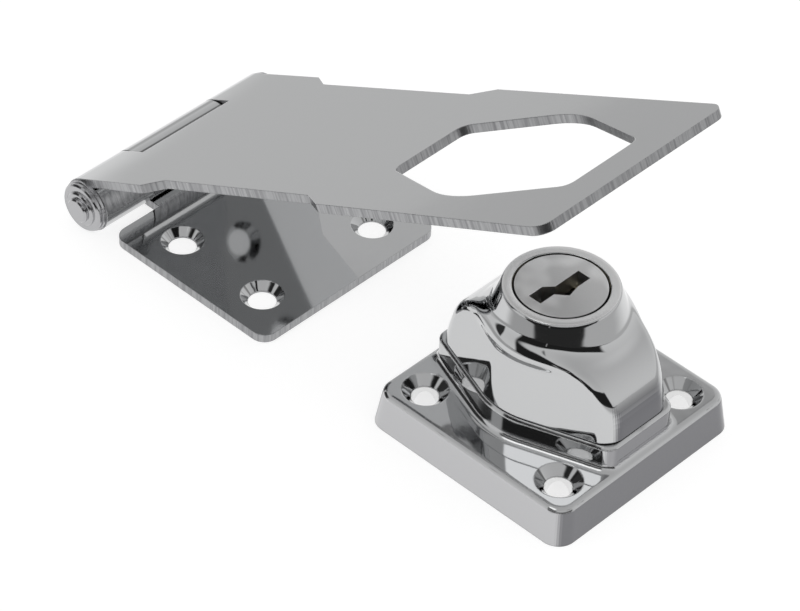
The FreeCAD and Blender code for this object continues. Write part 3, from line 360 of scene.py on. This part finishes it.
def tool_marks(tree, place, holes, upright, slopes):
    """Radial marks on the countersinks of four holes, where the surface has their slope."""
    middle_x, along, across = holes
    x, y, _ = tree.split(place)
    off_x = tree.math("SUBTRACT", tree.size(tree.math("SUBTRACT", x, middle_x)), along)
    off_y = tree.math("SUBTRACT", tree.size(y), across)
    angle = tree.math("ARCTAN2", off_y, off_x)
    marks = tree.noise(angle, MARKS, 1.0, "1D")
    slope = tree.both(tree.ramp(upright, *slopes[0]), tree.ramp(upright, *slopes[1]))
    return tree.both(slope, tree.ramp(marks, *MARK_LEVELS))


def dress_sheet(name, lean, holes=None):
    """Plated sheet: polished faces, and punched edges with fine marks across the sheet."""
    material, tree, shader, place, facing = new_metal(name, CHROME, SHEET_ROUGHNESS[0])
    upright = (-math.sin(lean), 0.0, math.cos(lean))
    flat = tree.size(tree.dot(facing, upright))
    edge = tree.ramp(flat, *EDGE_FACING)
    # The marks are noise that is stretched along the sheet's upright
    drop = tree.scale(upright, tree.math("MULTIPLY", tree.dot(place, upright), STREAK_STRETCH))
    streak = tree.noise(tree.vector("ADD", place, drop), STREAKS, 3.0)
    grain = tree.noise(place, SHEET_GRAIN)
    tree.feed(shader.inputs["Roughness"],
              tree.mix(edge, tree.mix(grain, *SHEET_ROUGHNESS), tree.mix(streak, *EDGE_ROUGHNESS)))
    worn = tree.both(edge, tree.ramp(streak, *STREAK_LEVELS, *STREAK_STRENGTH))
    tone = tree.shade(worn, CHROME, PUNCHED_EDGE)
    if holes:
        marks = tool_marks(tree, place, holes, flat, SHEET_COUNTERSINK)
        tone = tree.shade(marks, tone, TOOL_MARK)
    tree.feed(shader.inputs["Base Color"], tone)
    normal = tree.bump(tree.both(edge, streak), STREAK_DEPTH, tree.soft_edge(FINE_EDGE))
    waves = tree.noise(place, SHEET_WAVES, 1.0)
    tree.feed(shader.inputs["Normal"], tree.bump(waves, SHEET_WAVE_DEPTH, normal))
    return material


def dress_base():
    """Plated casting: a bright top and step, grainy outer sides with painted shade on the short ones and on
    the step's end walls, and bright bores of cut metal with a painted highlight.
    """
    material, tree, shader, place, facing = new_metal("base_chrome", CHROME, CAST_ROUGHNESS)
    facing_x, _, facing_up = tree.split(facing)
    x, y, height = tree.split(place)
    side = tree.ramp(tree.size(facing_up), *SIDE_FACING)
    shaded_short_side = tree.ramp(tree.size(facing_x), *SHORT_SIDE_FACING)
    outer = tree.math("MAXIMUM", tree.size(x), tree.size(y))
    outer_side = tree.both(side, tree.ramp(outer, *BASE_SIDE))
    grain = tree.noise(place, SIDE_GRAIN, 3.0)
    tree.feed(shader.inputs["Roughness"],
              tree.mix(outer_side, CAST_ROUGHNESS, tree.mix(grain, *SIDE_ROUGHNESS)))
    # Painted shade: the step's end walls, darker by the way that they face
    tone = tree.shade(tree.both(side, shaded_short_side), CHROME, STEP_END_SHADE)
    # Painted highlight: the bores, brighter than their cut metal
    tone = tree.shade(tree.both(side, tree.ramp(height, *BASE_BORES)), tone, CUT_BORE_HIGHLIGHT)
    # The long outer sides get the casting's duller tone, and the short ones painted shade
    tone = tree.shade(outer_side, tone, tree.shade(shaded_short_side, LONG_SIDE, SHADED_SHORT_SIDE))
    marks = tool_marks(tree, place, BASE_HOLES, facing_up, BASE_COUNTERSINK)
    tone = tree.shade(marks, tone, TOOL_MARK)
    tree.feed(shader.inputs["Base Color"], tone)
    # The step's walls lean in a little
    wall = tree.math("MINIMUM", tree.math("MAXIMUM", height, STEP_WALL[0]), STEP_WALL[1])
    leaning = tree.bump(tree.math("MULTIPLY", wall, -1.0), STEP_LEAN, tree.soft_edge(CAST_EDGE))
    normal = tree.bump(tree.both(outer_side, grain), SIDE_DEPTH, leaning)
    waves = tree.noise(place, BASE_WAVES)
    tree.feed(shader.inputs["Normal"], tree.bump(waves, BASE_WAVE_DEPTH, normal))
    return material


def dress_knob():
    """Plated casting: bright, with painted shade on the ends low down and a turned ring round the plug."""
    material, tree, shader, place, facing = new_metal("knob_chrome", CHROME, KNOB_ROUGHNESS)
    x, y, height = tree.split(place)
    facing_x, _, facing_up = tree.split(facing)
    ring = tree.both(tree.ramp(facing_up, *RING_FACING), tree.ramp(height, *KNOB_RING))
    grain = tree.noise(place, RING_GRAIN)
    tree.feed(shader.inputs["Roughness"], tree.mix(ring, KNOB_ROUGHNESS, tree.mix(grain, *RING_ROUGHNESS)))
    # Painted shade on the knob's ends, low down, by the way that they face
    end_shade = tree.both(tree.ramp(tree.size(facing_x), *KNOB_END_FACING), tree.ramp(height, *KNOB_LOWER_ENDS))
    tone = tree.shade(end_shade, CHROME, KNOB_END_SHADE)
    tree.feed(shader.inputs["Base Color"], tree.shade(ring, tone, CUT_RING))
    radius = tree.vector("LENGTH", tree.join(x, y, 0.0), output="Value")
    turned = tree.noise(radius, RING_TURNING, 1.0, "1D")
    rings = tree.both(ring, tree.math("ADD", turned, grain))
    normal = tree.bump(rings, RING_DEPTH, tree.soft_edge(FINE_EDGE))
    waves = tree.noise(place, KNOB_WAVES)
    tree.feed(shader.inputs["Normal"], tree.bump(waves, KNOB_WAVE_DEPTH, normal))
    return material


def dress_plug():
    """Satin face with turned rings and lighter patches of painted sheen at random, and its rim painted near
    black as shade in the groove round it.
    """
    material, tree, shader, place, _ = new_metal("plug_satin", PLUG_METAL, PLUG_ROUGHNESS[0])
    x, y, height = tree.split(place)
    radius = tree.vector("LENGTH", tree.join(x, y, 0.0), output="Value")
    turned = tree.noise(radius, PLUG_TURNING, 2.0, "1D")
    grain = tree.noise(place, PLUG_GRAIN)
    tree.feed(shader.inputs["Roughness"], tree.mix(grain, *PLUG_ROUGHNESS))
    # Painted sheen: lighter patches at random on the plug face
    patch = tree.ramp(tree.noise(place, PLUG_PATCHES, 1.0), *PATCH_LEVELS)
    # Painted shade: the rim of the plug's face, near black, in the gap round the plug
    groove = tree.both(tree.ramp(radius, *PLUG_GROOVE), tree.ramp(height, *PLUG_FACE))
    tone = tree.shade(patch, PLUG_DARK, PLUG_PAINTED_SHEEN)
    tree.feed(shader.inputs["Base Color"], tree.shade(groove, tone, GROOVE_SHADE))
    rings = tree.math("ADD", turned, grain)
    tree.feed(shader.inputs["Normal"], tree.bump(rings, PLUG_DEPTH, tree.soft_edge(FINE_EDGE)))
    return material


def dress_turned(name, colour, roughness):
    """Plain turned or stamped metal inside the lock, and the hinge pin."""
    material, tree, shader, place, _ = new_metal(name, colour, roughness)
    grain = tree.noise(place, INNER_GRAIN, 3.0)
    least, most = INNER_SPREAD
    tree.feed(shader.inputs["Roughness"], tree.mix(grain, roughness * least, roughness * most))
    tree.feed(shader.inputs["Normal"], tree.bump(grain, INNER_DEPTH, tree.soft_edge(INNER_EDGE)))
    return material


def cover(material, *names):
    for name in names:
        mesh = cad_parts[name].data
        mesh.materials.clear()
        mesh.materials.append(material)


def dress():
    wafers = ["wafer_%d" % number for number in range(1, 6)]
    springs = ["wafer_spring_%d" % number for number in range(1, 6)]
    cover(dress_sheet("strap_chrome", math.radians(STRAP_ANGLE)), "hasp_strap")
    cover(dress_sheet("leaf_chrome", 0.0, LEAF_HOLES), "hinge_leaf")
    cover(dress_base(), "lock_base")
    cover(dress_knob(), "knob")
    cover(dress_plug(), "key_plug")
    cover(dress_turned("pin_chrome", PIN_METAL, PIN_ROUGHNESS), "hinge_pin", "pin_washer_near",
          "pin_washer_far")
    cover(dress_turned("inner_brass", INNER_BRASS, BRASS_ROUGHNESS), "cylinder_body", *wafers)
    cover(dress_turned("inner_steel", INNER_STEEL, STEEL_ROUGHNESS), "body_pin", "stop_pin", "shank_cap",
          "disc_spring", "flat_washer", "snap_ring", "plug_clip", "drive_cam", "locking_bolt", *springs)


# Knob

def both_inside(first, second, radius):
    """Distance to what lies inside both, with the edge between them rounded."""
    edge = np.hypot(np.maximum(first + radius, 0), np.maximum(second + radius, 0))
    return np.minimum(np.maximum(first, second), -radius) + edge


def either_inside(first, second, radius):
    """Distance to what lies inside either, with the corner between them filled."""
    return -both_inside(-first, -second, radius)


def knob_distance(x, y, z):
    """How far a point lies outside the knob. The cone stands on the block and stays off its walls."""
    inset = (z - KNOB_FOOT) * math.tan(math.radians(KNOB_DRAFT))
    lean = math.radians(HEXAGON)
    across, up = np.abs(x), np.abs(y)
    around = np.hypot(x, y)
    long_sides = across * math.sin(lean) + up * math.cos(lean)
    sides = np.where(across <= up * math.tan(lean), around, long_sides) - KNOB_APEX + inset
    ends = across - KNOB_END + inset
    roof = np.hypot(x, z + ROOF_RADIUS - ROOF_TOP) - ROOF_RADIUS
    edge = np.interp(z, (CORNER_UP_TO, CREASE_FROM), (CORNER, CREASE))
    block = both_inside(sides, both_inside(ends, roof, SHOULDER), edge)
    cone = (around - CONE_RADIUS - CONE_SLOPE * (CONE_TOP - z)) / math.hypot(1.0, CONE_SLOPE)
    cone = both_inside(cone, CONE_BASE - z, CONE_BEVEL)
    whole = either_inside(block, cone, CONE_FOOT)
    return both_inside(whole, z - CONE_TOP, RIM)


def reach(start_z, rise, turn):
    """How far the knob reaches from its axis, at a height and in directions that rise by an angle."""
    near, far = np.zeros_like(turn), np.full_like(turn, KNOB_SEARCH)
    for _ in range(HALVINGS):
        middle = (near + far) / 2
        level = middle * math.cos(rise)
        height = start_z + middle * math.sin(rise)
        inside = knob_distance(level * np.cos(turn), level * np.sin(turn), height) < 0
        near, far = np.where(inside, middle, near), np.where(inside, far, middle)
    return near


def knob_rings(turn):
    """Rings of radius and height, up the outside, over the rim and down the bore."""
    rings = []
    for z in np.linspace(KNOB_FOOT, KNOB_HEART, LOW_ROWS, endpoint=False):
        rings.append((reach(z, 0.0, turn), z))
    steepest = math.atan((CONE_TOP - KNOB_HEART) / (CONE_RADIUS - RIM))
    for rise in np.linspace(0, steepest, ROWS):
        far = reach(KNOB_HEART, rise, turn)
        rings.append((far * math.cos(rise), KNOB_HEART + far * math.sin(rise)))
    bevel = RIM / 2
    lip = CONE_TOP - LIP_THICK
    rings += [(LIP_BORE + bevel, CONE_TOP), (LIP_BORE, CONE_TOP - bevel), (LIP_BORE, lip), (KNOB_BORE, lip),
              (KNOB_BORE, KNOB_FOOT)]
    return [np.broadcast_arrays(radius, z, turn) for radius, z in rings]


def make_knob():
    """The cast outside as one smooth skin, on the solid's own shank."""
    shank = bmesh.new()
    shank.from_mesh(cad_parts["knob"].data)
    everything = shank.verts[:] + shank.edges[:] + shank.faces[:]
    bmesh.ops.bisect_plane(shank, geom=everything, plane_co=(0.0, 0.0, SHANK_CUT / 1000),
                           plane_no=(0, 0, 1), clear_outer=True)
    outside = [face for face in shank.faces if face.calc_center_median().xy.length > CORE_RADIUS / 1000]
    bmesh.ops.delete(shank, geom=outside, context="FACES")
    turn = np.linspace(0, 2 * math.pi, COLUMNS, endpoint=False)
    grid = [[shank.verts.new((radius * math.cos(angle) / 1000, radius * math.sin(angle) / 1000, z / 1000))
             for radius, z, angle in zip(*ring)] for ring in knob_rings(turn)]
    for first, second in zip(grid, grid[1:] + grid[:1]):
        for column in range(COLUMNS):
            after = (column + 1) % COLUMNS
            shank.faces.new((first[column], first[after], second[after], second[column]))
    for face in shank.faces:
        face.smooth = True
    mesh = bpy.data.meshes.new("knob_skin")
    shank.to_mesh(mesh)
    shank.free()
    mesh.set_sharp_from_angle(angle=math.radians(SHARP_ANGLE))
    skin = bpy.data.objects.new("knob_skin", mesh)
    bpy.context.collection.objects.link(skin)
    mesh.materials.clear()
    mesh.materials.append(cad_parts["knob"].data.materials[0])
    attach(skin, "knob")
    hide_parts("knob")


# Surroundings

def make_floor():
    """White paper that glows for the camera and in what the metal reflects, and takes the shadow. Its
    colour and glow fade away from the object as a painted pool of light.
    """
    mesh = bpy.data.meshes.new("floor")
    far = FLOOR_REACH
    mesh.from_pydata([(-far, -far, 0), (far, -far, 0), (far, far, 0), (-far, far, 0)], [], [(0, 1, 2, 3)])
    floor = bpy.data.objects.new("floor", mesh)
    bpy.context.collection.objects.link(floor)
    material = bpy.data.materials.new("floor_paper")
    tree = Tree(material)
    shader = tree.nodes["Principled BSDF"]
    shader.inputs["Roughness"].default_value = 1.0
    shader.inputs["Specular IOR Level"].default_value = 0.0
    place = tree.add("ShaderNodeTexCoord").outputs["Object"]
    light = 1.0
    # Painted pool of light: the paper's colour and glow fade in each of these directions
    for direction, start, end, left in FLOOR_FADES:
        light = tree.mix(tree.ramp(tree.dot(place, direction), start, end), light, left)
    tree.feed(shader.inputs["Base Color"], tree.grey(tree.both(light, FLOOR_PAPER)))
    path = tree.add("ShaderNodeLightPath").outputs
    seen = tree.math("MAXIMUM", path["Is Camera Ray"],
                     tree.math("MAXIMUM", path["Is Glossy Ray"], path["Is Transmission Ray"]))
    tree.feed(shader.inputs["Emission Color"], tree.grey(light))
    tree.feed(shader.inputs["Emission Strength"], tree.both(seen, FLOOR_GLOW))
    mesh.materials.append(material)


def unit(azimuth, elevation):
    azimuth, elevation = math.radians(azimuth), math.radians(elevation)
    return Vector((math.cos(azimuth) * math.cos(elevation), math.sin(azimuth) * math.cos(elevation),
                   math.sin(elevation)))


def make_world():
    world = bpy.data.worlds.new("studio")
    bpy.context.scene.world = world
    tree = Tree(world)
    direction = tree.add("ShaderNodeTexCoord").outputs["Generated"]
    brightness = tree.ramp(tree.split(direction)[2], 0.0, 1.0, WALL, CEILING)
    for azimuth, elevation, half_width, half_height, value in ROOM:
        ahead = unit(azimuth, elevation)
        aside = unit(azimuth + 90, 0)
        above = ahead.cross(aside)
        wide = math.sin(math.radians(half_width))
        high = math.sin(math.radians(half_height))
        mask = tree.both(tree.ramp(tree.size(tree.dot(direction, aside)), wide, wide - SOFT_EDGE),
                         tree.ramp(tree.size(tree.dot(direction, above)), high, high - SOFT_EDGE))
        mask = tree.both(mask, tree.math("GREATER_THAN", tree.dot(direction, ahead), 0.0))
        brightness = tree.mix(mask, brightness, value)
    tree.feed(tree.nodes["Background"].inputs["Color"], tree.grey(brightness))


make_camera()
dress()
make_knob()
make_floor()
make_world()
bpy.context.scene.view_settings.view_transform = "Standard"
